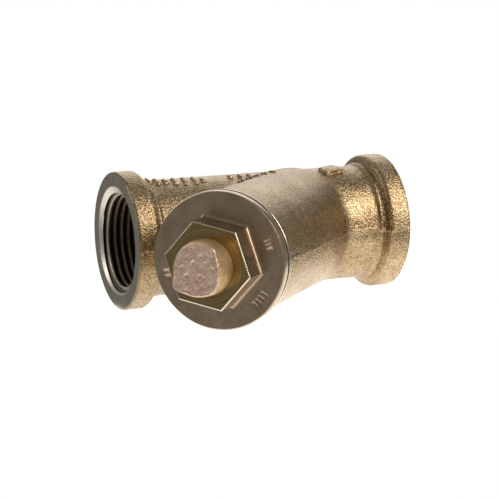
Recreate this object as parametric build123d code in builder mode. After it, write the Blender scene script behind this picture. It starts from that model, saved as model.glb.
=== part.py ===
from build123d import *
import math
import os

# Y strainer, threaded ends, 3/4 in pipe. Millimetres.
# Frame: origin on the inlet port's axis at its first full thread crest, +X out of the inlet,
# the outlet at -X, the branch leaning toward the outlet in the XY plane (-X, -Y), +Z up.

# Run
inlet_face = 3.3
run_length = 75.0
run_radius = 14.9
bead_radius = 17.65
bead_width = 5.5
bead_nose_radius = 0.7
bead_heel_radius = 1.1
bead_root_radius = 1.1

# Branch (barrel), distances along its axis from where it meets the run's axis
branch_x = -21.2
branch_angle = 45.0
barrel_radius = 15.9
dome_start = 3.0
dome_height = 13.5
rim_radius = 16.9
rim_width = 0.6
mouth_face = 50.7
crotch_fillet = 2.6

# Flow passages
passage_radius = 11.2
seat_web_near = 5.0
seat_web_far = 8.0
seat_hole_radius = 9.0
seat_recess_radius = 10.8
seat_recess_depth = 1.5
web_embed = 1.3
chamber_radius = 12.6
mouth_radius = 13.5
mouth_depth = 9.7

# Port threads, 3/4-14 NPT: narrow ring grooves in one cylindrical crest
port_pitch = 25.4 / 14
port_depth = 14.0
port_crest_radius = 11.75
port_root_radius = 13.25
port_groove_width = 0.45
port_groove_floor = 0.25
port_grooves = 6
port_first_groove = 4.21
groove_overcut = 0.5
countersink_radius = 14.03
countersink_angle = 45.0

# Cast relief: generic raised bars in two rows, and a plate over the inlet
relief_height = 0.65
relief_embed = 1.2
bar_width = 1.1
top_tilt = 10.0
top_bars = [
    (-63.4, 3.4),
    (-61.5, 4.0),
    (-59.4, 4.0),
    (-56.7, 3.6),
    (-53.9, 4.0),
    (-51.3, 3.8),
    (-49.2, 3.0),
    (-41.2, 2.0),
    (-38.5, 2.6),
    (-36.2, 2.0),
]
shoulder_tilt = 29.0
shoulder_bars = [
    (-41.0, 1.6),
    (-39.1, 2.0),
    (-37.2, 2.2),
]
plate_corners = [
    (-15.8, 0.6),
    (-11.0, 3.1),
    (-9.4, -1.7),
    (-14.9, -3.1),
]
parting_height = 0.25
parting_width = 0.8
parting_inset = 0.9

# Retainer cap
gasket_thickness = 0.85
gasket_inner_radius = 13.8
gasket_outer_radius = 16.65
flange_radius = 16.9
flange_thickness = 2.65
flange_chamfer = 0.45
hex_across_flats = 19.4
hex_height = 7.2
hex_rotation = -11.65
hex_base_fillet = 0.7
hex_edge_chamfer = 0.3
cap_running_clearance = 0.08
cap_pitch = 1.5
cap_grooves = 4
cap_groove_width = 1.2
cap_groove_depth = 0.85
spigot_length = 9.7
spigot_relief_width = 1.2
spigot_relief_depth = 0.9
spigot_lead_chamfer = 0.8
socket_radius = 10.9
socket_depth = 7.0
cap_hollow_radius = 8.0
cap_hollow_depth = 3.5

# Blow-off plug, 1/4-18 NPT
plug_pitch = 25.4 / 18
plug_radius = 6.77
plug_hole_radius = 6.85
plug_engagement = 7.4
plug_shoulder_height = 0.79
plug_head_height = 7.6
plug_end_outline = [
    (-5.62, -4.02),
    (-4.56, -0.03),
    (-4.09, 2.41),
    (-3.76, 4.36),
    (-1.51, 5.85),
    (0.43, 6.32),
    (3.32, 6.40),
    (5.38, 5.78),
    (6.29, 4.17),
    (6.55, 2.11),
    (6.46, -0.14),
    (6.07, -3.44),
    (3.74, -5.32),
    (0.99, -5.50),
    (-3.03, -4.96),
]
plug_end_chamfer = 0.6
plug_grooves = 3
plug_groove_width = 1.15
plug_groove_depth = 0.7
seal_inner_radius = 6.40
seal_outer_radius = 6.75
seal_length = 1.3
seal_start = 5.0
seal_gap = 0.05

# Screen basket
shell_outer_radius = 10.2
shell_thickness = 0.6
shell_end = 48.15
hole_radius = 1.35
holes_around = 12
hole_rows = 8
hole_first_row = 13.0
hole_row_step = 4.1
hole_overcut = 1.0
liner_gap = 0.05
liner_thickness = 0.25
liner_start = 9.0
liner_end = 47.35
seat_ring_radius = 10.7
seat_ring_width = 3.2
cap_ring_radius = 10.8
cap_ring_width = 4.5
ring_gap = 0.02

# Derived
angle = math.radians(branch_angle)
branch_direction = Vector(-math.cos(angle), -math.sin(angle), 0)
branch_side = Vector(math.sin(angle), -math.cos(angle), 0)
branch_plane = Plane(origin=(branch_x, 0, 0), x_dir=branch_side, z_dir=branch_direction)
branch_section = Plane(
    origin=(branch_x, 0, 0),
    x_dir=branch_side,
    z_dir=branch_side.cross(branch_direction),
)
branch_axis = Axis((branch_x, 0, 0), branch_direction)
flange_back = mouth_face + gasket_thickness
flange_front = flange_back + flange_thickness
hex_top = flange_front + hex_height
spigot_end = flange_back - spigot_length
spigot_radius = mouth_radius - cap_running_clearance
seat_floor = seat_web_far - seat_recess_depth
plug_end = hex_top - plug_engagement
shoulder = hex_top + plug_shoulder_height
plug_top = hex_top + plug_head_height
outlet_face = inlet_face - run_length
run_middle = (inlet_face + outlet_face) / 2
half_length = run_length / 2
snap = 0.01
countersink_depth = (countersink_radius - port_crest_radius) / math.tan(math.radians(countersink_angle))
top_plane = Plane(
    origin=(0, 0, 0),
    x_dir=(1, 0, 0),
    z_dir=(0, -math.sin(math.radians(top_tilt)), math.cos(math.radians(top_tilt))),
)
shoulder_plane = Plane(
    origin=(0, 0, 0),
    x_dir=(1, 0, 0),
    z_dir=(0, -math.sin(math.radians(shoulder_tilt)), math.cos(math.radians(shoulder_tilt))),
)
seal_start_at = plug_end + seal_start
liner_outer_radius = shell_outer_radius - shell_thickness - liner_gap


# Body casting
with BuildPart() as strainer_body:
    # Run with a bead at each port, one closed half section
    with BuildSketch(Plane.XY) as run_profile:
        with BuildLine():
            Polyline(
                (inlet_face, 0),
                (inlet_face, bead_radius),
                (inlet_face - bead_width, bead_radius),
                (inlet_face - bead_width, run_radius),
                (outlet_face + bead_width, run_radius),
                (outlet_face + bead_width, bead_radius),
                (outlet_face, bead_radius),
                (outlet_face, 0),
                close=True,
            )
        make_face()
        nose = run_profile.vertices().filter_by(
            lambda v: v.Y > bead_radius - snap and abs(v.X - run_middle) > half_length - snap
        )
        fillet(nose, bead_nose_radius)
        heel = run_profile.vertices().filter_by(
            lambda v: v.Y > bead_radius - snap and abs(v.X - run_middle) < half_length - bead_width + snap
        )
        fillet(heel, bead_heel_radius)
        root = run_profile.vertices().filter_by(lambda v: abs(v.Y - run_radius) < snap)
        fillet(root, bead_root_radius)
    revolve(axis=Axis.X)

    # Barrel with a domed blind end and a machined rim at its mouth
    with BuildSketch(branch_section) as barrel_profile:
        with BuildLine():
            Polyline(
                (0, dome_start - dome_height),
                (0, mouth_face),
                (rim_radius, mouth_face),
                (rim_radius, mouth_face - rim_width),
                (barrel_radius, mouth_face - rim_width - (rim_radius - barrel_radius)),
                (barrel_radius, dome_start),
            )
            EllipticalCenterArc(
                center=(0, dome_start),
                x_radius=barrel_radius,
                y_radius=dome_height,
                start_angle=-90,
                arc_size=90,
            )
        make_face()
    revolve(axis=branch_axis)

    # Saddle between the run and the barrel
    saddle = strainer_body.edges().filter_by(
        lambda e: e.geom_type not in (GeomType.LINE, GeomType.CIRCLE)
    )
    fillet(saddle, crotch_fillet)

    # Parting line of the two mould halves
    with BuildSketch(Plane.XY.offset(-parting_width / 2)) as parting:
        with Locations((run_middle, 0)):
            Rectangle(run_length - bead_width * 2, (run_radius + parting_height) * 2)
        for bead_middle in (inlet_face - bead_width / 2, outlet_face + bead_width / 2):
            with Locations((bead_middle, 0)):
                Rectangle(bead_width - parting_inset * 2, (bead_radius + parting_height) * 2)
    extrude(amount=parting_width)
    with BuildSketch(branch_section.offset(-parting_width / 2)) as barrel_parting:
        with Locations((0, (dome_start + mouth_face - rim_width * 2) / 2)):
            Rectangle(
                (barrel_radius + parting_height) * 2,
                mouth_face - rim_width * 2 - dome_start,
            )
        with Locations((0, dome_start)):
            Ellipse(barrel_radius + parting_height, dome_height + parting_height)
    extrude(amount=parting_width)

    # Raised marks
    with BuildSketch(top_plane.offset(run_radius - relief_embed)):
        for bar_x, bar_length in top_bars:
            with Locations((bar_x, 0)):
                Rectangle(bar_width, bar_length)
        with BuildLine():
            Polyline(*plate_corners, close=True)
        make_face()
    extrude(amount=relief_embed + relief_height)
    with BuildSketch(shoulder_plane.offset(run_radius - relief_embed)):
        for bar_x, bar_length in shoulder_bars:
            with Locations((bar_x, 0)):
                Rectangle(bar_width, bar_length)
    extrude(amount=relief_embed + relief_height)

    # Through passage, then the oblique web that carries the screen's seat
    with BuildSketch(Plane.YZ.offset(inlet_face)):
        Circle(passage_radius)
    extrude(amount=-run_length, mode=Mode.SUBTRACT)
    with BuildSketch(branch_plane.offset(seat_web_near)):
        with Locations((-(seat_web_near + seat_web_far) / 2, 0)):
            Ellipse((passage_radius + web_embed) * math.sqrt(2), passage_radius + web_embed)
    extrude(amount=seat_web_far - seat_web_near)
    with BuildSketch(branch_plane.offset(seat_web_near)):
        Circle(seat_hole_radius)
    extrude(amount=seat_web_far - seat_web_near, mode=Mode.SUBTRACT)
    with BuildSketch(branch_plane.offset(seat_floor)):
        Circle(seat_recess_radius)
    extrude(amount=seat_recess_depth, mode=Mode.SUBTRACT)
    with BuildSketch(branch_plane.offset(seat_web_far)):
        Circle(chamber_radius)
    extrude(amount=mouth_face - seat_web_far, mode=Mode.SUBTRACT)
    with BuildSketch(branch_plane.offset(mouth_face - mouth_depth)):
        Circle(mouth_radius)
    extrude(amount=mouth_depth, mode=Mode.SUBTRACT)

    # Port bores and countersinks
    for face_x, inward in ((inlet_face, -1), (outlet_face, 1)):
        with BuildSketch(Plane.XY):
            with BuildLine():
                Polyline(
                    (face_x, 0),
                    (face_x, countersink_radius),
                    (face_x + inward * countersink_depth, port_crest_radius),
                    (face_x + inward * port_depth, port_crest_radius),
                    (face_x + inward * port_depth, 0),
                    close=True,
                )
            make_face()
        revolve(axis=Axis.X, mode=Mode.SUBTRACT)

    # Port threads
    for face_x, inward in ((inlet_face, -1), (outlet_face, 1)):
        with BuildSketch(Plane.XY):
            for turn in range(port_grooves):
                groove_x = face_x + inward * (port_first_groove + turn * port_pitch)
                with BuildLine():
                    Polyline(
                        (groove_x - port_groove_width / 2, port_crest_radius - groove_overcut),
                        (groove_x - port_groove_width / 2, port_crest_radius),
                        (groove_x - port_groove_floor / 2, port_root_radius),
                        (groove_x + port_groove_floor / 2, port_root_radius),
                        (groove_x + port_groove_width / 2, port_crest_radius),
                        (groove_x + port_groove_width / 2, port_crest_radius - groove_overcut),
                        close=True,
                    )
                make_face()
        revolve(axis=Axis.X, mode=Mode.SUBTRACT)
strainer_body.part.label = "strainer_body"

# Retainer cap
with BuildPart() as retainer_cap:
    with BuildSketch(branch_section) as cap_profile:
        with BuildLine():
            Polyline(
                (0, spigot_end),
                (spigot_radius - spigot_lead_chamfer, spigot_end),
                (spigot_radius, spigot_end + spigot_lead_chamfer),
                (spigot_radius, flange_back - spigot_relief_width),
                (spigot_radius - spigot_relief_depth, flange_back - spigot_relief_width),
                (spigot_radius - spigot_relief_depth, flange_back),
                (flange_radius - flange_chamfer, flange_back),
                (flange_radius, flange_back + flange_chamfer),
                (flange_radius, flange_front - flange_chamfer),
                (flange_radius - flange_chamfer, flange_front),
                (0, flange_front),
                close=True,
            )
        make_face()
    revolve(axis=branch_axis)
    with BuildSketch(branch_plane.offset(flange_front)):
        RegularPolygon(hex_across_flats / 2, 6, major_radius=False, rotation=hex_rotation)
    extrude(amount=hex_height)
    hex_base = retainer_cap.edges().filter_by(GeomType.LINE).filter_by(
        lambda e: abs(branch_plane.to_local_coords(e.center()).Z - flange_front) < snap
    )
    fillet(hex_base, hex_base_fillet)
    hex_edge = retainer_cap.edges().filter_by(GeomType.LINE).filter_by(
        lambda e: abs(branch_plane.to_local_coords(e.center()).Z - hex_top) < snap
    )
    chamfer(hex_edge, hex_edge_chamfer)
    with BuildSketch(branch_plane.offset(spigot_end)):
        Circle(socket_radius)
    extrude(amount=socket_depth, mode=Mode.SUBTRACT)
    with BuildSketch(branch_plane.offset(spigot_end + socket_depth)):
        Circle(cap_hollow_radius)
    extrude(amount=cap_hollow_depth, mode=Mode.SUBTRACT)
    with BuildSketch(branch_plane.offset(spigot_end + socket_depth + cap_hollow_depth)):
        Circle(plug_hole_radius)
    extrude(amount=hex_top - spigot_end - socket_depth - cap_hollow_depth, mode=Mode.SUBTRACT)
    with BuildSketch(branch_section):
        for turn in range(cap_grooves):
            groove_at = spigot_end + spigot_lead_chamfer + (turn + 1) * cap_pitch
            with BuildLine():
                Polyline(
                    (spigot_radius + groove_overcut, groove_at - cap_groove_width / 2),
                    (spigot_radius, groove_at - cap_groove_width / 2),
                    (spigot_radius - cap_groove_depth, groove_at),
                    (spigot_radius, groove_at + cap_groove_width / 2),
                    (spigot_radius + groove_overcut, groove_at + cap_groove_width / 2),
                    close=True,
                )
            make_face()
    revolve(axis=branch_axis, mode=Mode.SUBTRACT)
retainer_cap.part.label = "retainer_cap"

# Gasket under the cap's flange
with BuildPart() as cap_gasket:
    with BuildSketch(branch_plane.offset(mouth_face)):
        Circle(gasket_outer_radius)
        Circle(gasket_inner_radius, mode=Mode.SUBTRACT)
    extrude(amount=gasket_thickness)
cap_gasket.part.label = "cap_gasket"

# Blow-off plug
with BuildPart() as blow_off_plug:
    with BuildSketch(branch_section):
        with BuildLine():
            Polyline(
                (0, plug_end),
                (plug_radius - plug_end_chamfer, plug_end),
                (plug_radius, plug_end + plug_end_chamfer),
                (plug_radius, shoulder),
                (0, shoulder),
                close=True,
            )
        make_face()
    revolve(axis=branch_axis)
    with BuildSketch(branch_plane.offset(shoulder)):
        Circle(plug_radius)
    with BuildSketch(branch_plane.offset(plug_top)):
        with BuildLine():
            Spline(*plug_end_outline, periodic=True)
        make_face()
    loft()
    with BuildSketch(branch_section):
        with BuildLine():
            Polyline(
                (seal_inner_radius - seal_gap, seal_start_at - seal_gap),
                (plug_radius + groove_overcut, seal_start_at - seal_gap),
                (plug_radius + groove_overcut, seal_start_at + seal_length + seal_gap),
                (seal_inner_radius - seal_gap, seal_start_at + seal_length + seal_gap),
                close=True,
            )
        make_face()
    revolve(axis=branch_axis, mode=Mode.SUBTRACT)
    with BuildSketch(branch_section):
        for turn in range(plug_grooves):
            groove_at = plug_end + plug_end_chamfer + (turn + 0.5) * plug_pitch
            with BuildLine():
                Polyline(
                    (plug_radius + groove_overcut, groove_at - plug_groove_width / 2),
                    (plug_radius, groove_at - plug_groove_width / 2),
                    (plug_radius - plug_groove_depth, groove_at),
                    (plug_radius, groove_at + plug_groove_width / 2),
                    (plug_radius + groove_overcut, groove_at + plug_groove_width / 2),
                    close=True,
                )
            make_face()
    revolve(axis=branch_axis, mode=Mode.SUBTRACT)
blow_off_plug.part.label = "blow_off_plug"

# Sealing wrap on the plug's thread
with BuildPart() as plug_seal:
    with BuildSketch(branch_plane.offset(seal_start_at)):
        Circle(seal_outer_radius)
        Circle(seal_inner_radius, mode=Mode.SUBTRACT)
    extrude(amount=seal_length)
plug_seal.part.label = "plug_seal"

# Perforated shell of the screen
with BuildPart() as screen_shell:
    with BuildSketch(branch_plane.offset(seat_floor)):
        Circle(shell_outer_radius)
        Circle(shell_outer_radius - shell_thickness, mode=Mode.SUBTRACT)
    extrude(amount=shell_end - seat_floor)
    for row in range(hole_rows):
        row_plane = Plane(
            origin=branch_plane.from_local_coords((0, 0, hole_first_row + row * hole_row_step)),
            x_dir=branch_side,
            z_dir=branch_direction,
        )
        for place in range(holes_around):
            turn_angle = math.radians((place + row % 2 / 2) * 360 / holes_around)
            outward = row_plane.x_dir * math.cos(turn_angle) + row_plane.y_dir * math.sin(turn_angle)
            with BuildSketch(Plane(origin=row_plane.origin, x_dir=branch_direction, z_dir=outward)):
                Circle(hole_radius)
            extrude(amount=shell_outer_radius + hole_overcut, mode=Mode.SUBTRACT)
screen_shell.part.label = "screen_shell"

# Woven liner inside the shell
with BuildPart() as screen_liner:
    with BuildSketch(branch_plane.offset(liner_start)):
        Circle(liner_outer_radius)
        Circle(liner_outer_radius - liner_thickness, mode=Mode.SUBTRACT)
    extrude(amount=liner_end - liner_start)
screen_liner.part.label = "screen_liner"

# End rings of the screen
with BuildPart() as screen_seat_ring:
    with BuildSketch(branch_plane.offset(seat_floor)):
        Circle(seat_ring_radius)
        Circle(shell_outer_radius + ring_gap, mode=Mode.SUBTRACT)
    extrude(amount=seat_ring_width)
screen_seat_ring.part.label = "screen_seat_ring"

with BuildPart() as screen_cap_ring:
    with BuildSketch(branch_plane.offset(shell_end - cap_ring_width)):
        Circle(cap_ring_radius)
        Circle(shell_outer_radius + ring_gap, mode=Mode.SUBTRACT)
    extrude(amount=cap_ring_width)
screen_cap_ring.part.label = "screen_cap_ring"

os.makedirs("parts", exist_ok=True)
export_step(strainer_body.part, "parts/strainer_body.step")
export_step(retainer_cap.part, "parts/retainer_cap.step")
export_step(cap_gasket.part, "parts/cap_gasket.step")
export_step(blow_off_plug.part, "parts/blow_off_plug.step")
export_step(plug_seal.part, "parts/plug_seal.step")
export_step(screen_shell.part, "parts/screen_shell.step")
export_step(screen_liner.part, "parts/screen_liner.step")
export_step(screen_seat_ring.part, "parts/screen_seat_ring.step")
export_step(screen_cap_ring.part, "parts/screen_cap_ring.step")
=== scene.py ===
import math

import bpy
import numpy as np
from mathutils import Matrix


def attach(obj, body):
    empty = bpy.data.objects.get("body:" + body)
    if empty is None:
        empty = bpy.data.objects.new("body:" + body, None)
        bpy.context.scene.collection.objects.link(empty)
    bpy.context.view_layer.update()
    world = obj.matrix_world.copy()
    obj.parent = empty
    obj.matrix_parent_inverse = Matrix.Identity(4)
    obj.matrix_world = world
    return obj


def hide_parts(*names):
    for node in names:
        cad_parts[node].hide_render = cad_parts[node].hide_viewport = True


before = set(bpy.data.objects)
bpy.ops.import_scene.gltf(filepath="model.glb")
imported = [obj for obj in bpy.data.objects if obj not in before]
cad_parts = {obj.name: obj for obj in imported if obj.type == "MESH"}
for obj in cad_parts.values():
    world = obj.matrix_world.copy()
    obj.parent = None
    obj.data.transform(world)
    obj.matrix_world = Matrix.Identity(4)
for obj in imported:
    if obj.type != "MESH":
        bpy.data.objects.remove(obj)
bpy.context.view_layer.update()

# All lengths here are in mm in the row frame, and turn into metres when a mesh is made.
MM = 0.001
HALF = math.sqrt(0.5)
BRANCH_X = -21.2
TO_MOUTH = np.array([-HALF, -HALF, 0.0])
SIDE = np.array([HALF, -HALF, 0.0])
UP = np.array([0.0, 0.0, 1.0])
INLET_FACE, OUTLET_FACE = 3.3, -71.7
MIDDLE, HALF_RUN = -34.2, 37.5
# The bead is 0.01 mm under the CAD's, so that this mesh stays inside the CAD's faceted one.
RUN_R, BEAD_R, BARREL_R = 14.9, 17.64, 15.9
DOME_START, DOME_HEIGHT = 3.0, 13.5
MOUTH_FACE, RIM_W, RIM_R = 50.7, 1.1, 16.9
MOUTH_END = MOUTH_FACE - 9.7
PORT_DEPTH, COUNTERSINK_R, PORT_FACE_R = 14.2, 14.03, 17.28
PORT_CREST_R, PIPE_TAPER, COUNTERSINK_SLOPE = 11.83, 1 / 32, 1.7
PORT_LEAD, CAP_LEAD, PLUG_LEAD = 25.4 / 14, 1.5, 25.4 / 18
MOUTH_CREST_R, MOUTH_ROOT_R, SPIGOT_CREST_R, SPIGOT_ROOT_R = 13.5, 14.25, 13.42, 12.55
SOCKET_R, SOCKET_DEPTH, HOLLOW_R, HOLLOW_DEPTH, PLUG_HOLE_R = 10.9, 7.0, 8.0, 10.5, 6.86
LATHE_SIDES = 160
FLANGE_BACK, FLANGE_FRONT, FLANGE_R = 51.55, 54.2, 16.9
SPIGOT_END = FLANGE_BACK - 9.7
HEX_TOP, HEX_APOTHEM, HEX_TURN = 61.4, 9.7, math.radians(-11.65)
PLUG_END, SHOULDER, PLUG_TOP, PLUG_R = 54.0, 62.19, 69.0, 6.77
SEAL_START, SEAL_END = 58.95, 60.35
FLOOR_Z = -17.7
rng = np.random.default_rng(7)


# ---------------------------------------------------------------- meshes


def add_mesh(name, verts, quads, material, body, sharp=None):
    """A piece from numpy vertices (mm, row frame) and quads."""
    mesh = bpy.data.meshes.new(name)
    mesh.from_pydata((verts * MM).tolist(), [], quads.tolist())
    mesh.validate()
    piece = bpy.data.objects.new(name, mesh)
    bpy.context.scene.collection.objects.link(piece)
    mesh.materials.append(material)
    mesh.polygons.foreach_set("use_smooth", np.ones(len(mesh.polygons), bool))
    if sharp is not None:
        mesh.set_sharp_from_angle(angle=math.radians(sharp))
    mesh.update()
    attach(piece, body)
    return piece


def tidy(verts, quads):
    """Merges vertices that coincide and drops faces that collapse."""
    _, first, inverse = np.unique(
        np.round(verts, 5), axis=0, return_index=True, return_inverse=True
    )
    verts, quads = verts[first], inverse.reshape(-1)[quads]
    faces = []
    for face in quads.tolist():
        kept = [v for n, v in enumerate(face) if v != face[n - 1]]
        if len(set(kept)) == len(kept) and len(kept) > 2:
            faces.append(kept)
    return verts, faces


def turned(name, blocks, place, material, body, sharp=30, sides=192, start=0.0):
    """A closed ring-like solid: blocks of rows of (radius, distance along the axis) arrays."""
    theta = start + 2 * math.pi * np.arange(sides) / sides
    points, faces, last = [], [], None
    count = 0
    first = None
    for radius, along, shift in blocks:
        radius = np.broadcast_to(radius, (len(radius), sides))
        along = np.broadcast_to(along, (len(along), sides))
        rows = len(radius)
        index = count + np.arange(rows * sides).reshape(rows, sides)
        count += rows * sides
        points.append(
            np.stack([radius * np.cos(theta), radius * np.sin(theta), along], -1).reshape(-1, 3)
        )
        upper = index[1:]
        lower = index[:-1]
        next_lower = np.roll(lower, -1, 1)
        next_upper = np.roll(upper, -1, 1)
        if shift:
            moved = np.minimum(np.arange(rows) + shift, rows - 1)
            next_lower[:, -1] = index[moved[:-1], 0]
            next_upper[:, -1] = index[moved[1:], 0]
        faces.append(np.stack([lower, next_lower, next_upper, upper], -1).reshape(-1, 4))
        if last is not None:
            faces.append(
                np.stack(
                    [last, np.roll(last, -1), np.roll(index[0], -1), index[0]], -1
                ).reshape(-1, 4)
            )
        else:
            first = index[0]
        last = index[-1]
    faces.append(np.stack([last, np.roll(last, -1), np.roll(first, -1), first], -1).reshape(-1, 4))
    verts, kept = tidy(place(np.concatenate(points)), np.concatenate(faces))
    mesh = bpy.data.meshes.new(name)
    mesh.from_pydata((verts * MM).tolist(), [], kept)
    mesh.validate()
    mesh.polygons.foreach_set("use_smooth", np.ones(len(mesh.polygons), bool))
    mesh.set_sharp_from_angle(angle=math.radians(sharp))
    piece = bpy.data.objects.new(name, mesh)
    bpy.context.scene.collection.objects.link(piece)
    mesh.materials.append(material)
    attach(piece, body)
    return piece


def rows(*pairs):
    """A block of plain rings from (radius, along) pairs."""
    radius = np.array([[p[0]] for p in pairs], float)
    along = np.array([[p[1]] for p in pairs], float)
    return radius, along, 0


def arc_rows(centre_r, centre_t, radius, start, end, steps=5):
    """Rings along an arc in the (radius, along) half plane, angles in degrees."""
    turn = np.radians(np.linspace(start, end, steps))
    return rows(*[(centre_r + radius * math.cos(a), centre_t + radius * math.sin(a)) for a in turn])


def helix(lead, start, end, sides, phases, radius_of):
    """A block whose rows follow a right-handed helix between two planes."""
    turns = int(math.ceil((end - start) / lead)) + 2
    base = start - lead + lead * np.add.outer(np.arange(turns), phases).reshape(-1)
    theta = np.arange(sides) / sides
    along = np.clip(base[:, None] + lead * theta, start, end)
    phase = np.mod((along - start) / lead - theta + 1e-9, 1.0)
    return radius_of(along, phase), along, len(phases)


def thread(phase, crest, root, crest_width=0.12, root_width=0.12):
    """Radius of a 60 degree thread at a phase: crest, flank, root, flank."""
    flank = (1 - crest_width - root_width) / 2
    root_start = crest_width + flank
    root_end = crest_width + flank + root_width
    share = np.interp(phase, [0, crest_width, root_start, root_end, 1], [0, 0, 1, 1, 0])
    return crest + (root - crest) * share


def along_branch(local):
    """Local (side, up, along) to the row frame."""
    return (
        np.array([BRANCH_X, 0, 0])
        + local[:, :1] * SIDE
        + local[:, 1:2] * UP
        + local[:, 2:3] * TO_MOUTH
    )


def into_inlet(local):
    """Local z is the depth from the inlet face, toward -X."""
    return np.stack([INLET_FACE - local[:, 2], local[:, 0], -local[:, 1]], -1)


def into_outlet(local):
    """Local z is the depth from the outlet face, toward +X."""
    return np.stack([OUTLET_FACE + local[:, 2], local[:, 0], local[:, 1]], -1)


def surface_net(field, origin, step):
    """Closed quads where the field is zero. The field is negative in the material."""
    inside = field < 0
    nx, ny, nz = field.shape
    corners = [(i, j, k) for i in (0, 1) for j in (0, 1) for k in (0, 1)]
    count = sum(
        inside[i : nx - 1 + i, j : ny - 1 + j, k : nz - 1 + k].astype(np.int8)
        for i, j, k in corners
    )
    active = (count > 0) & (count < 8)
    index = np.full(active.shape, -1, np.int64)
    cells = np.argwhere(active)
    index[active] = np.arange(len(cells))
    total, hits = np.zeros((len(cells), 3)), np.zeros((len(cells), 1))
    for a in corners:
        for axis in range(3):
            if a[axis]:
                continue
            b = tuple(c + (n == axis) for n, c in enumerate(a))
            fa, fb = field[tuple((cells + a).T)], field[tuple((cells + b).T)]
            crossing = (fa < 0) != (fb < 0)
            share = np.where(crossing, fa / np.where(fa == fb, 1, fa - fb), 0)[:, None]
            total += np.where(crossing[:, None], cells + a + share * (np.array(b) - a), 0)
            hits += crossing[:, None]
    verts = origin + step * total / hits
    quads = []
    for axis in range(3):
        one, two = [n for n in range(3) if n != axis]
        low = np.moveaxis(inside, (axis, one, two), (0, 1, 2))
        cell = np.moveaxis(index, (axis, one, two), (0, 1, 2))
        change = low[:-1, 1:-1, 1:-1] != low[1:, 1:-1, 1:-1]
        i, j, k = np.nonzero(change)
        quad = np.stack(
            [cell[i, j, k], cell[i, j + 1, k], cell[i, j + 1, k + 1], cell[i, j, k + 1]], -1
        )
        outward = low[:-1, 1:-1, 1:-1][change] == (axis != 1)
        quads.append(np.where(outward[:, None], quad, quad[:, ::-1]))
    return verts, np.concatenate(quads)


def settle(verts, field_at, rounds=3, reach=0.3):
    """Moves vertices onto the field's zero."""
    tiny = 0.01
    for _ in range(rounds):
        value = field_at(*verts.T)
        slope = np.stack(
            [
                field_at(*(verts + tiny * axis).T) - field_at(*(verts - tiny * axis).T)
                for axis in np.eye(3)
            ],
            -1,
        ) / (2 * tiny)
        size = (slope**2).sum(1)
        move = -(value / np.maximum(size, 0.25))[:, None] * slope
        length = np.linalg.norm(move, axis=1)[:, None]
        verts = verts + move * np.minimum(1, reach / np.maximum(length, 1e-9))
    return verts, slope / np.sqrt(np.maximum(size, 1e-9))[:, None]


def ripple(points, wavelength, waves=36):
    """Smooth noise of about -1 to 1 with features of one size."""
    total = np.zeros(len(points))
    for _ in range(waves):
        way = rng.normal(size=3)
        way *= 2 * math.pi / (np.linalg.norm(way) * wavelength * rng.uniform(0.7, 1.4))
        total += np.sin(points @ way + rng.uniform(0, 2 * math.pi))
    return total / math.sqrt(waves)


def blend_union(a, b, k):
    """Union of two fields with a fillet of size k."""
    h = np.maximum(k - np.abs(a - b), 0) / np.maximum(k, 1e-6)
    return np.minimum(a, b) - h * h * k / 4


def blend_cut(a, b, k):
    """What both fields hold, with a rounded edge of size k."""
    return -blend_union(-a, -b, k)


# ---------------------------------------------------------------- body casting

# Raised bars in place of lettering: x, distance over the top toward -Y, half length.
MARKS = [
    (-63.4, 2.0, 1.6),
    (-61.4, 2.3, 1.9),
    (-59.2, 2.6, 1.4),
    (-56.7, 2.8, 1.9),
    (-54.0, 3.0, 2.0),
    (-51.3, 3.1, 2.0),
    (-49.2, 3.3, 1.2),
    (-41.2, 2.4, 1.0),
    (-38.5, 2.8, 1.3),
    (-36.0, 2.8, 1.1),
    (-40.6, 7.6, 0.9),
    (-38.4, 7.3, 1.1),
    (-36.0, 6.8, 1.3),
    (-33.6, 6.2, 1.3),
    (-31.2, 5.6, 1.3),
]
MARK_HALF_WIDTH, MARK_CORNER, MARK_HEIGHT = 0.55, 0.3, 0.62
PLATE = [(-15.8, 2.0), (-14.9, 5.7), (-9.4, 4.3), (-11.0, -0.5)]
PLATE_HEIGHT = 0.75
TOP_SIDE_Z = 5
FAR = 9.0

# Bead: where its heel starts inboard, and the small ring cast at its foot.
HEEL_START, FOOT_INBOARD, FOOT_R, FOOT_SIZE = 5.4, 7.0, 14.95, 0.7
PARTING_HEIGHT, PARTING_WIDTH = 0.2, 0.32

# Inside the body, distances along the branch.
PASSAGE_R, CHAMBER_R, CHAMBER_START = 11.2, 12.6, 8.0
WEB_MIDDLE, WEB_HALF, SEAT_HOLE_R = 6.5, 1.5, 9.0
RECESS_MIDDLE, RECESS_HALF, RECESS_R = 8.5, 2.0, 10.8
SKIN_STEP = 0.42


def axes_of(x, y, z):
    """Radius from the run, place along and beside the branch, and radius from the branch."""
    run_r = np.hypot(y, z)
    along = -HALF * (x - BRANCH_X) - HALF * y
    side = HALF * (x - BRANCH_X) - HALF * y
    return run_r, along, side, np.hypot(side, z)


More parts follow.
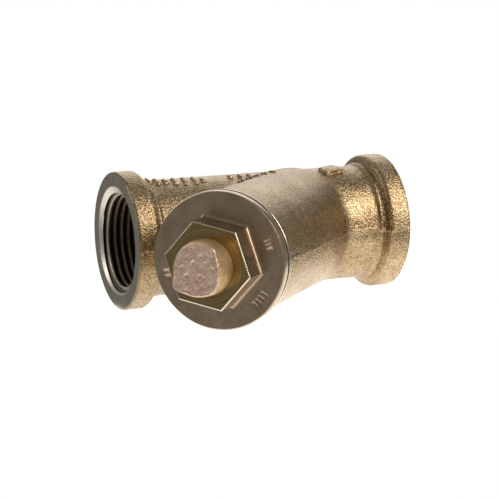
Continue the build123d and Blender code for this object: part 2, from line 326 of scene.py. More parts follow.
def outer_field(x, y, z):
    """Outside of the casting: run, beads, barrel, raised marks and parting line."""
    run_r, along, side, barrel_r = axes_of(x, y, z)
    out = np.abs(x - MIDDLE)
    inboard = HALF_RUN - out
    neck = np.maximum(run_r - RUN_R, -inboard)
    heel = (inboard - HEEL_START) * 0.94 + (run_r - BEAD_R) * 0.34
    bead = blend_cut(blend_cut(run_r - BEAD_R, heel, 0.9), -inboard, 0.6)
    foot = np.hypot(inboard - FOOT_INBOARD, run_r - FOOT_R) - FOOT_SIZE
    bead = blend_union(bead, foot, 0.25)
    run = blend_union(neck, bead, 0.6)
    back = np.minimum(along - DOME_START, 0) * BARREL_R / DOME_HEIGHT
    barrel = np.hypot(barrel_r, back) - BARREL_R
    across = (-HALF * side * y + z * z) / np.maximum(run_r * barrel_r, 1e-6)
    blend = 0.4 + 3.4 * np.clip(1 - across, 0, 1.1)
    body = blend_union(run, barrel, blend)
    # raised marks follow the surface they stand on
    over = RUN_R * np.arctan2(-y, z)
    mark = np.full(np.shape(x), FAR)
    for mx, mv, hv in MARKS:
        q1 = np.abs(x - mx) - MARK_HALF_WIDTH + MARK_CORNER
        q2 = np.abs(over - mv) - hv + MARK_CORNER
        bar = np.hypot(np.maximum(q1, 0), np.maximum(q2, 0)) + np.minimum(np.maximum(q1, q2), 0)
        mark = np.minimum(mark, bar - MARK_CORNER)
    plate = np.full(np.shape(x), -FAR)
    for (ax, av), (bx, bv) in zip(PLATE, PLATE[1:] + PLATE[:1]):
        length = math.hypot(bx - ax, bv - av)
        plate = np.maximum(plate, ((x - ax) * (av - bv) + (over - av) * (bx - ax)) / length)
    mark = np.where(z > TOP_SIDE_Z, mark, FAR)
    plate = np.where(z > TOP_SIDE_Z, plate, FAR)
    raised = blend_cut(mark, body - MARK_HEIGHT, 0.35)
    slab = blend_cut(plate, body - PLATE_HEIGHT, 0.15)
    body = blend_union(blend_union(body, raised, 0.3), slab, 0.15)
    # the mould's parting line wanders a little, and shows only on the run and its beads
    wander = 0.22 * np.sin(x * 0.9 + 1) + 0.16 * np.sin(x * 2.3 + y * 0.8) + 0.1 * np.sin(x * 4.1)
    height = z - wander
    on_run = np.clip((barrel + 1.0) / 2.0, 0.0, 1)
    return body - PARTING_HEIGHT * on_run * np.exp(-((height / PARTING_WIDTH) ** 2))


def inner_field(x, y, z):
    """What is cut out of the casting."""
    run_r, along, side, barrel_r = axes_of(x, y, z)
    passage = np.maximum(run_r - PASSAGE_R, WEB_HALF - np.abs(along - WEB_MIDDLE))
    seat_hole = np.maximum(barrel_r - SEAT_HOLE_R, np.abs(along - WEB_MIDDLE) - 2.0)
    recess = np.maximum(barrel_r - RECESS_R, np.abs(along - RECESS_MIDDLE) - RECESS_HALF)
    chamber = np.maximum(barrel_r - CHAMBER_R, CHAMBER_START - along)
    mouth = np.maximum(barrel_r - 14.9, MOUTH_END - 0.2 - along)
    out = np.abs(x - MIDDLE)
    ports = np.maximum(run_r - 13.85, HALF_RUN - PORT_DEPTH + 0.05 - out)
    return np.minimum.reduce([passage, seat_hole, recess, chamber, mouth, ports])


def skin_field(x, y, z):
    """The casting, cut short where the machined faces cover it, and hollow."""
    out = np.abs(x - MIDDLE)
    along = -HALF * (x - BRANCH_X) - HALF * y
    trimmed = np.maximum(outer_field(x, y, z), out - HALF_RUN + 0.12)
    trimmed = np.maximum(trimmed, along - MOUTH_FACE + RIM_W)
    return np.maximum(trimmed, -inner_field(x, y, z))


def make_skin(material):
    """The grid reaches past the parting ridge on every side, so the skin is closed."""
    low = np.array([OUTLET_FACE - 1, -51.5, -18.2])
    high = np.array([INLET_FACE + 1, 19.2, 19.2])
    grid = [np.arange(a, b, SKIN_STEP) for a, b in zip(low, high)]
    field = skin_field(*np.meshgrid(*grid, indexing="ij"))
    verts, quads = surface_net(field, low, SKIN_STEP)
    verts, normals = settle(verts, skin_field)
    outer = outer_field(*verts.T)
    out = np.abs(verts[:, 0] - MIDDLE)
    along = -HALF * (verts[:, 0] - BRANCH_X) - HALF * verts[:, 1]
    cast = (np.abs(outer) < 0.15) & (out < HALF_RUN - 0.7) & (along < MOUTH_FACE - RIM_W - 0.4)
    swell = 0.05 * ripple(verts, 9.0) + 0.015 * ripple(verts, 3.0)
    swell = swell + 0.014 * ripple(verts, 1.1) - 0.06
    verts = verts + np.where(cast, swell, 0)[:, None] * normals
    return add_mesh("body_casting", verts, quads, material, "housing", sharp=50)


# ---------------------------------------------------------------- materials


WHITE = (1.0, 1.0, 1.0)


class Nodes:
    """A small helper to write node trees in a few lines."""

    def __init__(self, name):
        self.material = bpy.data.materials.new(name)
        self.material.use_nodes = True
        self.tree = self.material.node_tree
        self.tree.nodes.clear()
        self.output = self.tree.nodes.new("ShaderNodeOutputMaterial")
        self.shader = self.tree.nodes.new("ShaderNodeBsdfPrincipled")
        self.link(self.shader.outputs["BSDF"], self.output.inputs["Surface"])
        coords = self.tree.nodes.new("ShaderNodeTexCoord")
        scale = self.add("ShaderNodeVectorMath", operation="SCALE")
        self.link(coords.outputs["Object"], scale.inputs[0])
        scale.inputs["Scale"].default_value = 1000.0
        self.place = scale.outputs["Vector"]

    def add(self, kind, **settings):
        node = self.tree.nodes.new(kind)
        for key, value in settings.items():
            setattr(node, key, value)
        return node

    def link(self, source, target):
        self.tree.links.new(source, target)

    def feed(self, socket, value):
        if hasattr(value, "links"):
            self.link(value, socket)
        else:
            socket.default_value = value

    def math(self, operation, a, b=0.0, c=0.0, clamp=False):
        node = self.add("ShaderNodeMath", operation=operation, use_clamp=clamp)
        for socket, value in zip(node.inputs, (a, b, c)):
            self.feed(socket, value)
        return node.outputs[0]

    def hypot(self, a, b):
        squares = self.math("ADD", self.math("MULTIPLY", a, a), self.math("MULTIPLY", b, b))
        return self.math("SQRT", squares)

    def noise(self, size, detail=3.0, rough=0.55, vector=None, stretch=None):
        """Noise with features of about one size in mm, from 0 to 1."""
        node = self.add("ShaderNodeTexNoise")
        vector = vector or self.place
        if stretch:
            scaled = self.add("ShaderNodeVectorMath", operation="MULTIPLY")
            self.link(vector, scaled.inputs[0])
            scaled.inputs[1].default_value = stretch
            vector = scaled.outputs[0]
        self.link(vector, node.inputs["Vector"])
        node.inputs["Scale"].default_value = 1 / size
        node.inputs["Detail"].default_value = detail
        node.inputs["Roughness"].default_value = rough
        return node.outputs[0]

    def rings(self, value, size, detail=2.0):
        """One-dimensional noise along a value in mm."""
        node = self.add("ShaderNodeTexNoise", noise_dimensions="1D")
        self.feed(node.inputs["W"], value)
        node.inputs["Scale"].default_value = 1 / size
        node.inputs["Detail"].default_value = detail
        return node.outputs[0]

    def ramp(self, value, *stops):
        node = self.add("ShaderNodeValToRGB")
        self.link(value, node.inputs[0])
        elements = node.color_ramp.elements
        while len(elements) < len(stops):
            elements.new(0.5)
        for element, (position, colour) in zip(elements, stops):
            element.position = position
            element.color = (*colour, 1) if len(colour) == 3 else colour
        return node.outputs[0]

    def span(self, value, low, high, to_low, to_high):
        node = self.add("ShaderNodeMapRange")
        self.link(value, node.inputs[0])
        for socket, number in zip(node.inputs[1:5], (low, high, to_low, to_high)):
            socket.default_value = number
        return node.outputs[0]

    def mix(self, share, a, b, blend="MIX"):
        node = self.add("ShaderNodeMix", data_type="RGBA", blend_type=blend)
        self.feed(node.inputs["Factor"], share)
        self.feed(node.inputs["A"], a)
        self.feed(node.inputs["B"], b)
        return node.outputs["Result"]

    def bump(self, height, depth_mm, strength=1.0, under=None):
        node = self.add("ShaderNodeBump")
        self.link(height, node.inputs["Height"])
        node.inputs["Distance"].default_value = depth_mm * MM
        node.inputs["Strength"].default_value = strength
        if under is not None:
            self.link(under, node.inputs["Normal"])
        return node.outputs[0]

    def from_branch(self):
        """Distance along the branch's axis and radius from it, in mm."""
        moved = self.add("ShaderNodeVectorMath", operation="SUBTRACT")
        self.link(self.place, moved.inputs[0])
        moved.inputs[1].default_value = (BRANCH_X, 0, 0)
        dots = []
        for way in (TO_MOUTH, SIDE):
            dot = self.add("ShaderNodeVectorMath", operation="DOT_PRODUCT")
            self.link(moved.outputs[0], dot.inputs[0])
            dot.inputs[1].default_value = tuple(way)
            dots.append(dot.outputs["Value"])
        parts = self.add("ShaderNodeSeparateXYZ")
        self.link(self.place, parts.inputs[0])
        return dots[0], self.hypot(dots[1], parts.outputs["Z"])

    def from_run(self):
        """Distance along the run's axis and radius from it, in mm."""
        parts = self.add("ShaderNodeSeparateXYZ")
        self.link(self.place, parts.inputs[0])
        return parts.outputs["X"], self.hypot(parts.outputs["Y"], parts.outputs["Z"])

    def finish(self, colour, rough, normal=None, metal=1.0):
        self.feed(self.shader.inputs["Base Color"], colour)
        self.feed(self.shader.inputs["Roughness"], rough)
        self.feed(self.shader.inputs["Metallic"], metal)
        if normal is not None:
            self.link(normal, self.shader.inputs["Normal"])
        return self.material


def cast_bronze():
    n = Nodes("cast_bronze")
    patches = n.noise(9.0, 4.0)
    mottle = n.noise(1.6, 4.0, 0.65)
    grain = n.noise(0.47, 2.0, 0.55)
    colour = n.ramp(
        patches,
        (0.30, (0.43, 0.30, 0.16)),
        (0.52, (0.54, 0.39, 0.22)),
        (0.72, (0.61, 0.47, 0.28)),
    )
    pits = n.span(grain, 0.42, 0.54, 0.52, 1.0)
    tint = n.ramp(mottle, (0.3, (0.84, 0.80, 0.76)), (0.7, WHITE))
    colour = n.mix(1.0, colour, tint, "MULTIPLY")
    shade = n.ramp(pits, (0.0, (0.0, 0.0, 0.0)), (1.0, WHITE))
    colour = n.mix(1.0, colour, shade, "MULTIPLY")
    rough = n.span(mottle, 0.3, 0.7, 0.30, 0.40)
    normal = n.bump(mottle, 0.02)
    normal = n.bump(grain, 0.22, under=normal)
    return n.finish(colour, rough, normal)


def machined(name, measure, dark, light, rough_range, tone_and_painted_light=None):
    """Turned metal with fine tool lines round the axis that measure gives."""
    n = Nodes(name)
    along, radius = measure(n)
    lines = n.rings(n.math("ADD", radius, n.math("MULTIPLY", along, 0.7)), 0.35)
    cloud = n.noise(4.0, 4.0)
    colour = n.mix(n.span(cloud, 0.3, 0.7, 0.0, 1.0), (*dark, 1), (*light, 1))
    rough = n.span(n.noise(1.1, 3.0), 0.3, 0.7, *rough_range)
    if tone_and_painted_light:
        # some pieces pass a function here that paints shade and highlights into the colour
        colour, rough = tone_and_painted_light(n, along, radius, colour, rough)
    normal = n.bump(lines, 0.012)
    normal = n.bump(n.noise(0.5, 2.0), 0.006, under=normal)
    return n.finish(colour, rough, normal)


def painted_thread_light(n, along, radius, colour, rough):
    """Painted shade in the roots of the port's thread, a painted highlight on its crests, and a
    painted highlight on the countersink cone.
    """
    depth = n.math("SUBTRACT", HALF_RUN, n.math("ABSOLUTE", n.math("SUBTRACT", along, MIDDLE)))
    above_crest = n.math("SUBTRACT", radius, PORT_CREST_R)
    above_crest = n.math("ADD", above_crest, n.math("MULTIPLY", depth, PIPE_TAPER))
    cone_r = n.math("SUBTRACT", COUNTERSINK_R, n.math("MULTIPLY", depth, COUNTERSINK_SLOPE))
    cone = n.math("ABSOLUTE", n.math("SUBTRACT", radius, cone_r))
    past_face, off_cone = n.span(depth, 0.3, 0.6, 0.0, 1.0), n.span(cone, 0.06, 0.2, 0.0, 1.0)
    inside = n.math("MULTIPLY", past_face, off_cone)
    # painted shade: the thread darkens with depth below the crest
    shade = n.ramp(
        above_crest, (0.08, WHITE), (0.5, (0.34, 0.28, 0.23)), (1.0, (0.20, 0.15, 0.12))
    )
    # painted highlight: the thread is lifted toward pale cream, and only the roots are darkened
    # again
    cut = n.mix(1.0, n.mix(0.8, colour, (1.0, 0.94, 0.80, 1)), shade, "MULTIPLY")
    past_edge, on_cone = n.span(depth, 0.05, 0.12, 0.0, 1.0), n.span(cone, 0.06, 0.2, 1.0, 0.0)
    cone_highlight = n.math("MULTIPLY", past_edge, on_cone)
    # painted highlight: the countersink cone is painted pale cream
    colour = n.mix(cone_highlight, n.mix(inside, colour, cut), (0.95, 0.88, 0.74, 1))
    return colour, rough


def hex_face_and_edge_highlight(n, along, radius, colour, rough):
    """The hexagon's end face is cut finer than the flange, and a painted highlight runs along its
    edge.
    """
    end = n.span(along, HEX_TOP - 0.3, HEX_TOP - 0.1, 0.0, 1.0)
    turned_face = n.rings(radius, 0.9)
    tone = n.ramp(
        turned_face,
        (0.3, (0.30, 0.20, 0.08)),
        (0.55, (0.44, 0.31, 0.14)),
        (0.75, (0.60, 0.46, 0.26)),
    )
    colour = n.mix(end, colour, tone)
    edge_start = n.span(along, HEX_TOP - 0.36, HEX_TOP - 0.28, 0.0, 1.0)
    edge_end = n.span(along, HEX_TOP - 0.08, HEX_TOP - 0.02, 1.0, 0.0)
    edge_highlight = n.math("MULTIPLY", edge_start, edge_end)
    # painted highlight along the hexagon's top chamfer
    colour = n.mix(edge_highlight, colour, (0.88, 0.78, 0.60, 1))
    return colour, n.mix(end, rough, n.span(turned_face, 0.3, 0.7, 0.10, 0.24))


def red_bronze():
    n = Nodes("red_bronze")
    along = n.from_branch()[0]
    patches = n.noise(3.5, 4.0)
    grain = n.noise(0.45, 4.0, 0.65)
    face = n.ramp(
        patches,
        (0.30, (0.86, 0.58, 0.42)),
        (0.55, (0.97, 0.70, 0.53)),
        (0.75, (1.0, 0.80, 0.62)),
    )
    side = n.ramp(patches, (0.30, (0.76, 0.52, 0.26)), (0.70, (0.92, 0.70, 0.40)))
    colour = n.mix(n.span(along, PLUG_TOP - 0.5, PLUG_TOP - 0.2, 0.0, 1.0), side, face)
    pits = n.ramp(grain, (0.32, (0.55, 0.50, 0.47)), (0.55, WHITE))
    colour = n.mix(1.0, colour, pits, "MULTIPLY")
    rough = n.span(grain, 0.3, 0.7, 0.56, 0.40)
    normal = n.bump(n.noise(1.2, 3.0), 0.07)
    normal = n.bump(grain, 0.07, under=normal)
    return n.finish(colour, rough, normal)


def fibre():
    n = Nodes("gasket_fibre")
    speck = n.noise(0.3, 3.0)
    colour = n.ramp(speck, (0.35, (0.015, 0.017, 0.022)), (0.65, (0.05, 0.055, 0.07)))
    return n.finish(colour, n.span(speck, 0.3, 0.7, 0.45, 0.65), n.bump(speck, 0.03), metal=0.0)


def tape():
    n = Nodes("seal_tape")
    creases = n.noise(0.5, 3.0, stretch=(0.4, 0.4, 2.0))
    colour = n.ramp(creases, (0.3, (0.70, 0.70, 0.68)), (0.7, (0.86, 0.86, 0.84)))
    return n.finish(colour, n.span(creases, 0.3, 0.7, 0.5, 0.7), n.bump(creases, 0.05), metal=0.0)


def steel(name, low, high, rough_low, rough_high):
    n = Nodes(name)
    rolled = n.noise(0.8, 3.0, stretch=(1.0, 1.0, 0.2))
    colour = n.mix(n.span(rolled, 0.3, 0.7, 0.0, 1.0), (*low, 1), (*high, 1))
    rough = n.span(n.noise(2.0, 3.0), 0.3, 0.7, rough_low, rough_high)
    return n.finish(colour, rough, n.bump(rolled, 0.01))


cast = cast_bronze()
port_cut = machined(
    "port_cut", Nodes.from_run, (0.44, 0.37, 0.27), (0.56, 0.49, 0.36), (0.26, 0.36), painted_thread_light
)
rim_cut = machined(
    "rim_cut", Nodes.from_branch, (0.62, 0.54, 0.38), (0.74, 0.66, 0.48), (0.18, 0.30)
)
cap_cut = machined(
    "cap_cut", Nodes.from_branch, (0.40, 0.30, 0.20), (0.52, 0.40, 0.28), (0.26, 0.38), hex_face_and_edge_highlight
)
plug_metal = red_bronze()
gasket_material = fibre()
tape_material = tape()
shell_steel = steel("screen_steel", (0.50, 0.50, 0.49), (0.62, 0.62, 0.60), 0.30, 0.45)
mesh_steel = steel("mesh_steel", (0.36, 0.36, 0.35), (0.48, 0.48, 0.47), 0.40, 0.55)
ring_brass = machined(
    "ring_brass", Nodes.from_branch, (0.60, 0.48, 0.26), (0.70, 0.58, 0.34), (0.28, 0.40)
)

# ---------------------------------------------------------------- body pieces

skin = make_skin(cast)
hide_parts("strainer_body")

PORT_PHASES = np.array([0.0, 0.22, 0.34, 0.46, 0.58, 0.64, 0.76, 0.88])


def port_blocks(sides):
    """Threaded bore, the sleeve's hidden back, and the machined end face."""

    def bore(along, phase):
        crest = PORT_CREST_R - PIPE_TAPER * along
        cut = thread(phase, crest, crest + 1.42, 0.22, 0.06)
        fade = np.clip((13.0 - along) / 1.5, 0, 1)
        cut = crest + (cut - crest) * fade
        return np.maximum(cut, COUNTERSINK_R - COUNTERSINK_SLOPE * along)

    return [
        helix(PORT_LEAD, 0.0, PORT_DEPTH, sides, PORT_PHASES, bore),
        rows((13.9, PORT_DEPTH), (13.9, 0.5), (PORT_FACE_R - 0.4, 0.5), (PORT_FACE_R, 0.35)),
        rows(
            (PORT_FACE_R, 0.08), (PORT_FACE_R - 0.08, 0.0), (15.8, 0.0), (14.8, 0.0), (14.12, 0.0)
        ),
    ]


for port, place in (("outlet_port_cut", into_outlet), ("inlet_port_cut", into_inlet)):
    blocks = port_blocks(LATHE_SIDES)
    piece = turned(
        port, blocks, place, port_cut, "housing", sharp=24, sides=LATHE_SIDES
    )
    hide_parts("strainer_body")

MOUTH_PHASES = np.array([0.0, 0.12, 0.5, 0.62])


def mouth_bore(along, phase):
    cut = thread(phase, MOUTH_CREST_R, MOUTH_ROOT_R)
    return np.maximum(cut, 14.6 - (MOUTH_FACE - along))


mouth = turned(
    "mouth_cut",
    [
        helix(CAP_LEAD, MOUTH_END, MOUTH_FACE, LATHE_SIDES, MOUTH_PHASES, mouth_bore),
        rows((15.2, MOUTH_FACE), (RIM_R - 0.12, MOUTH_FACE), (RIM_R, MOUTH_FACE - 0.12)),
        rows(
            (RIM_R, MOUTH_FACE - 0.36), (RIM_R - 1.05, MOUTH_FACE - 1.2), (14.95, MOUTH_FACE - 1.2)
        ),
        rows((14.95, MOUTH_END - 0.1), (12.7, MOUTH_END - 0.1)),
    ],
    along_branch,
    rim_cut,
    "housing",
    sharp=30,
    sides=LATHE_SIDES,
)
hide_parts("strainer_body")

# ---------------------------------------------------------------- cap

CAP_SIDES = 288
cap_theta = HEX_TURN + 2 * math.pi * np.arange(CAP_SIDES) / CAP_SIDES
in_side = np.mod(cap_theta - HEX_TURN + 1e-9, math.pi / 3) - math.pi / 6
hex_shape = 1 / np.cos(in_side)


def hexagon(*pairs):
    """Rings of (apothem, along) pairs."""
    radius = np.array([p[0] * hex_shape for p in pairs])
    along = np.array([[p[1]] for p in pairs], float)
    return radius, along, 0


def spigot(along, phase):
    cut = thread(phase, SPIGOT_CREST_R, SPIGOT_ROOT_R)
    return np.minimum(cut, SPIGOT_ROOT_R + (along - SPIGOT_END))


def groove(x, y, ax, ay, bx, by, width):
    """1 on a line from a to b, falling to 0 beside it."""
    length = math.hypot(bx - ax, by - ay)
    t = np.clip(((x - ax) * (bx - ax) + (y - ay) * (by - ay)) / length**2, 0, 1)
    far = np.hypot(x - ax - t * (bx - ax), y - ay - t * (by - ay))
    return np.exp(-((far / width) ** 2))


# Equal radial ticks on the flange, in place of stamped marks.
TICK_TURNS = np.radians([15, 19, 23, 193, 198, -48, -43, -38, -33])
TICK_START, TICK_END, TICK_DEPTH, TICK_WIDTH = 13.2, 14.5, 0.34, 0.27
HEX_FILLET = 0.75
base_fillet = [
    (HEX_APOTHEM + HEX_FILLET * (1 - math.sin(a)), FLANGE_FRONT + HEX_FILLET * (1 - math.cos(a)))
    for a in np.radians(np.linspace(0, 90, 6))
]
base_ring = (HEX_APOTHEM + HEX_FILLET) * hex_shape
shares = np.linspace(0, 1, 22)[:, None]
FACE_R = FLANGE_R - 0.35
face_radius = FACE_R * (1 - shares) + base_ring * shares
face_along = np.full(face_radius.shape, FLANGE_FRONT)
face_x, face_y = face_radius * np.cos(cap_theta), face_radius * np.sin(cap_theta)
for turn in TICK_TURNS:
    tick_x, tick_y = math.cos(turn), math.sin(turn)
    ends = (TICK_START * tick_x, TICK_START * tick_y, TICK_END * tick_x, TICK_END * tick_y)
    face_along = face_along - TICK_DEPTH * groove(face_x, face_y, *ends, width=TICK_WIDTH)

cap = turned(
    "cap",
    [
        rows((SOCKET_R, SPIGOT_END), (12.4, SPIGOT_END)),
        helix(CAP_LEAD, SPIGOT_END, FLANGE_BACK - 1.2, CAP_SIDES, MOUTH_PHASES, spigot),
        rows((12.5, FLANGE_BACK - 1.2), (12.5, FLANGE_BACK), (FLANGE_R - 0.45, FLANGE_BACK)),
        arc_rows(FLANGE_R - 0.3, FLANGE_BACK + 0.3, 0.3, -90, 0, 4),
        rows(
            (FLANGE_R, FLANGE_FRONT - 0.4),
            (FLANGE_R - 0.1, FLANGE_FRONT - 0.18),
            (FACE_R, FLANGE_FRONT),
        ),
        (face_radius, face_along, 0),
        hexagon(*base_fillet),
        hexagon(
            (HEX_APOTHEM, HEX_TOP - 0.28),
            (HEX_APOTHEM - 0.14, HEX_TOP - 0.12),
            (HEX_APOTHEM - 0.32, HEX_TOP),
        ),
        hexagon((9.0, HEX_TOP), (8.6, HEX_TOP), (8.1, HEX_TOP)),
        rows(
            (7.5, HEX_TOP),
            (7.0, HEX_TOP),
            (PLUG_HOLE_R, HEX_TOP - 0.15),
            (PLUG_HOLE_R, SPIGOT_END + HOLLOW_DEPTH),
        ),
        rows(
            (HOLLOW_R, SPIGOT_END + HOLLOW_DEPTH),
            (HOLLOW_R, SPIGOT_END + SOCKET_DEPTH),
            (SOCKET_R, SPIGOT_END + SOCKET_DEPTH),
        ),
    ],
    along_branch,
    cap_cut,
    "cap",
    sharp=28,
    sides=CAP_SIDES,
    start=HEX_TURN,
)
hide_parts("retainer_cap")

gasket = turned(
    "gasket",
    [
        rows((13.8, MOUTH_FACE + 0.02), (16.35, MOUTH_FACE + 0.02)),
        arc_rows(16.25, MOUTH_FACE + 0.425, 0.38, -80, 80, 7),
        rows((16.35, FLANGE_BACK - 0.02), (13.8, FLANGE_BACK - 0.02)),
    ],
    along_branch,
    gasket_material,
    "gasket",
    sides=128,
)
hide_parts("cap_gasket")

# ---------------------------------------------------------------- plug

OUTLINE = np.array(
    [
        (-5.62, -4.02), (-5.08, -1.9), (-4.56, -0.03), (-4.09, 2.41), (-3.76, 4.2), (-2.9, 5.2),
        (-1.51, 5.85), (0.43, 6.32), (3.2, 6.35), (4.95, 5.6), (5.7, 4.17), (5.9, 2.11),
        (5.85, -0.14), (5.75, -2.0), (5.6, -3.44), (5.0, -4.6), (3.6, -5.28), (0.99, -5.50),
        (-1.3, -5.25), (-3.03, -4.96), (-4.75, -4.55),
    ]
)
PLUG_EDGE = 0.35
PLUG_SIDES = 224
plug_theta = 2 * math.pi * np.arange(PLUG_SIDES) / PLUG_SIDES
outline_theta = np.mod(np.arctan2(OUTLINE[:, 1], OUTLINE[:, 0]), 2 * math.pi)
order = np.argsort(outline_theta)
outline_r = np.interp(
    plug_theta, outline_theta[order], np.hypot(*OUTLINE.T)[order], period=2 * math.pi
)
kernel = np.exp(-((np.arange(-6, 7) / 2.0) ** 2))
wrapped = np.concatenate([outline_r[-6:], outline_r, outline_r[:6]])
outline_r = np.convolve(wrapped, kernel / kernel.sum(), "valid")

side_along = np.linspace(SHOULDER, PLUG_TOP - PLUG_EDGE, 26)[:, None]
share = np.clip((side_along - SHOULDER) / (PLUG_TOP - SHOULDER), 0, 1)
flare = share * share * (3 - 2 * share) * 0.6 + share * 0.4
share = np.where(outline_r > PLUG_R, flare, 1 - np.sqrt(np.maximum(1 - share**1.9, 0)))
side_radius = PLUG_R * (1 - share) + outline_r * share
side_at = np.stack(
    [
        side_radius * np.cos(plug_theta),
        side_radius * np.sin(plug_theta),
        np.broadcast_to(side_along, side_radius.shape),
    ],
    -1,
).reshape(-1, 3)
side_lumps = ripple(side_at, 2.4).reshape(side_radius.shape)
side_radius = side_radius + share * (0.10 * side_lumps - 0.05)

edge_turns = np.radians(np.linspace(0, 90, 5))[1:, None]
edge_radius = side_radius[-1] - PLUG_EDGE * (1 - np.cos(edge_turns))
edge_along = PLUG_TOP - PLUG_EDGE + PLUG_EDGE * np.sin(edge_turns) + 0 * edge_radius
top_share = np.linspace(1, 0, 44)[1:, None]
top_radius = (side_radius[-1] - PLUG_EDGE) * top_share
top_x, top_y = top_radius * np.cos(plug_theta), top_radius * np.sin(plug_theta)

# Three round punch dots, in place of the stamped mark.
DOTS, DOT_R, DOT_DEPTH = [(-0.2, 2.1), (-1.9, -1.0), (1.5, -1.0)], 0.5, 0.26
stamp = np.zeros(top_x.shape)
for dot_x, dot_y in DOTS:
    away = ((top_x - dot_x) ** 2 + (top_y - dot_y) ** 2) / DOT_R**2
    stamp = np.maximum(stamp, np.exp(-(away**2)))
top_at = np.stack([top_x, top_y, 0 * top_x], -1).reshape(-1, 3)
top_along = PLUG_TOP - 0.06 + 0.05 * ripple(top_at, 2.2).reshape(top_x.shape)
top_along = top_along + 0.02 * ripple(top_at, 0.9).reshape(top_x.shape)
top_along = np.minimum(top_along - DOT_DEPTH * stamp, PLUG_TOP)


def shank(along, phase):
    cut = thread(phase, PLUG_R, PLUG_R - 0.95)
    fade = np.clip((SEAL_START - 0.4 - along) / 0.8, 0, 1)
    cut = PLUG_R + (cut - PLUG_R) * fade
    return np.minimum(cut, 6.1 + (along - PLUG_END))


plug = turned(
    "plug",
    [
        rows((0.0, PLUG_END), (5.5, PLUG_END)),
        helix(PLUG_LEAD, PLUG_END, SEAL_START, PLUG_SIDES, MOUTH_PHASES, shank),
        rows((6.35, SEAL_START), (6.35, SEAL_END), (PLUG_R, SEAL_END)),
        (side_radius, side_along, 0),
        (edge_radius, edge_along, 0),
        (top_radius, top_along, 0),
    ],
    along_branch,
    plug_metal,
    "plug",
    sharp=45,
    sides=PLUG_SIDES,
)
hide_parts("blow_off_plug")

# ---------------------------------------------------------------- CAD pieces that stay

for node, material in {
    "plug_seal": tape_material,
    "screen_shell": shell_steel,
    "screen_liner": mesh_steel,
    "screen_seat_ring": ring_brass,
    "screen_cap_ring": ring_brass,
}.items():
    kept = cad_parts[node]
    if not kept.material_slots:
        kept.data.materials.append(material)
    for material_slot in kept.material_slots:
        material_slot.material = material

# ---------------------------------------------------------------- studio

FLOOR_SIDES = 96
rim = 2 * math.pi * np.arange(FLOOR_SIDES) / FLOOR_SIDES
disc = np.stack([-22 + 51 * np.cos(rim), 2 + 62 * np.sin(rim), np.full(FLOOR_SIDES, FLOOR_Z)], -1)
floor_mesh = bpy.data.meshes.new("floor")
floor_mesh.from_pydata((disc * MM).tolist(), [], [tuple(range(FLOOR_SIDES))])
floor = bpy.data.objects.new("floor", floor_mesh)
bpy.context.scene.collection.objects.link(floor)
pale = Nodes("pale_floor")
paper = pale.noise(40.0, 2.0)
floor_mesh.materials.append(
    pale.finish(pale.ramp(paper, (0.0, (0.86, 0.86, 0.86)), (1.0, (0.9, 0.9, 0.9))), 0.8, metal=0.0)
)
pale.shader.inputs["Emission Color"].default_value = (0.93, 0.97, 1.0, 1)
pale.shader.inputs["Emission Strength"].default_value = 1.15


def view_axes(azimuth, elevation):
    """Right, up and back of something that faces the strainer. Azimuth 0 is in front, at -Y."""
    az, el = math.radians(azimuth), math.radians(elevation)
    back = np.array([math.sin(az) * math.cos(el), -math.cos(az) * math.cos(el), math.sin(el)])
    right = np.cross([0, 0, 1], back)
    right /= np.linalg.norm(right)
    return right, np.cross(back, right), back


def placed(right, up, back, at):
    """World matrix from three axes and a place in metres."""
    return Matrix([[right[i], up[i], back[i], at[i]] for i in range(3)] + [[0, 0, 0, 1]])


def area_light(name, azimuth, elevation, distance, width, height, power, colour=(1, 1, 1)):
    """A soft light that faces the strainer from a distance in metres."""
    light = bpy.data.lights.new(name, "AREA")
    light.shape = "RECTANGLE"
    light.size, light.size_y = width, height
    light.energy = power
    light.color = colour
    lamp = bpy.data.objects.new(name, light)
    bpy.context.scene.collection.objects.link(lamp)
    right, up, away = view_axes(azimuth, elevation)
    lamp.matrix_world = placed(right, up, away, np.array([-0.034, -0.01, 0.0]) + distance * away)


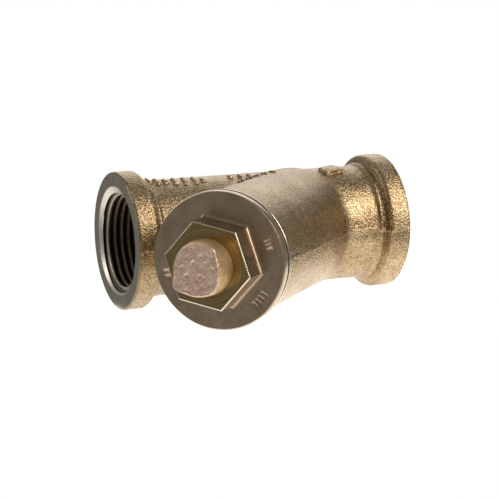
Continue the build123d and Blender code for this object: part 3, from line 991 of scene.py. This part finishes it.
area_light("key", 35, 33, 0.75, 0.40, 0.46, 4.3, (1.0, 0.96, 0.90))
area_light("back", 156, 28, 0.75, 0.66, 0.55, 1.6)
area_light("left", -113, 27, 0.7, 0.30, 0.40, 0.58)

world = bpy.data.worlds.new("studio")
bpy.context.scene.world = world
world.use_nodes = True
tree = world.node_tree
tree.nodes.clear()
out = tree.nodes.new("ShaderNodeOutputWorld")
mixer = tree.nodes.new("ShaderNodeMixShader")
path = tree.nodes.new("ShaderNodeLightPath")
dim, bright = tree.nodes.new("ShaderNodeBackground"), tree.nodes.new("ShaderNodeBackground")
way = tree.nodes.new("ShaderNodeTexCoord")
height = tree.nodes.new("ShaderNodeSeparateXYZ")
tree.links.new(way.outputs["Generated"], height.inputs[0])
# the world glows a little toward the top, and the camera sees it plain white
glow = tree.nodes.new("ShaderNodeMapRange")
tree.links.new(height.outputs["Z"], glow.inputs[0])
for socket, number in zip(glow.inputs[1:5], (-0.62, -0.34, 1.1, 0.22)):
    socket.default_value = number
tree.links.new(glow.outputs[0], dim.inputs["Color"])
dim.inputs["Strength"].default_value = 1.0
bright.inputs["Color"].default_value = (1, 1, 1, 1)
bright.inputs["Strength"].default_value = 1.0
tree.links.new(path.outputs["Is Camera Ray"], mixer.inputs[0])
tree.links.new(dim.outputs[0], mixer.inputs[1])
tree.links.new(bright.outputs[0], mixer.inputs[2])
tree.links.new(mixer.outputs[0], out.inputs["Surface"])

# ---------------------------------------------------------------- camera

roll = math.radians(-0.804)
right, up, back = view_axes(-23.197, 9.973)
turned_right = math.cos(roll) * right + math.sin(roll) * up
turned_up = -math.sin(roll) * right + math.cos(roll) * up
camera_data = bpy.data.cameras.new("camera")
camera_data.sensor_width = 36.0
camera_data.lens = 139.989
camera_data.clip_start = 0.01
camera = bpy.data.objects.new("camera", camera_data)
bpy.context.scene.collection.objects.link(camera)
place = np.array([-232.227, -460.590, 82.809]) * MM
camera.matrix_world = placed(turned_right, turned_up, back, place)
bpy.context.scene.camera = camera
bpy.context.scene.view_settings.view_transform = "Standard"
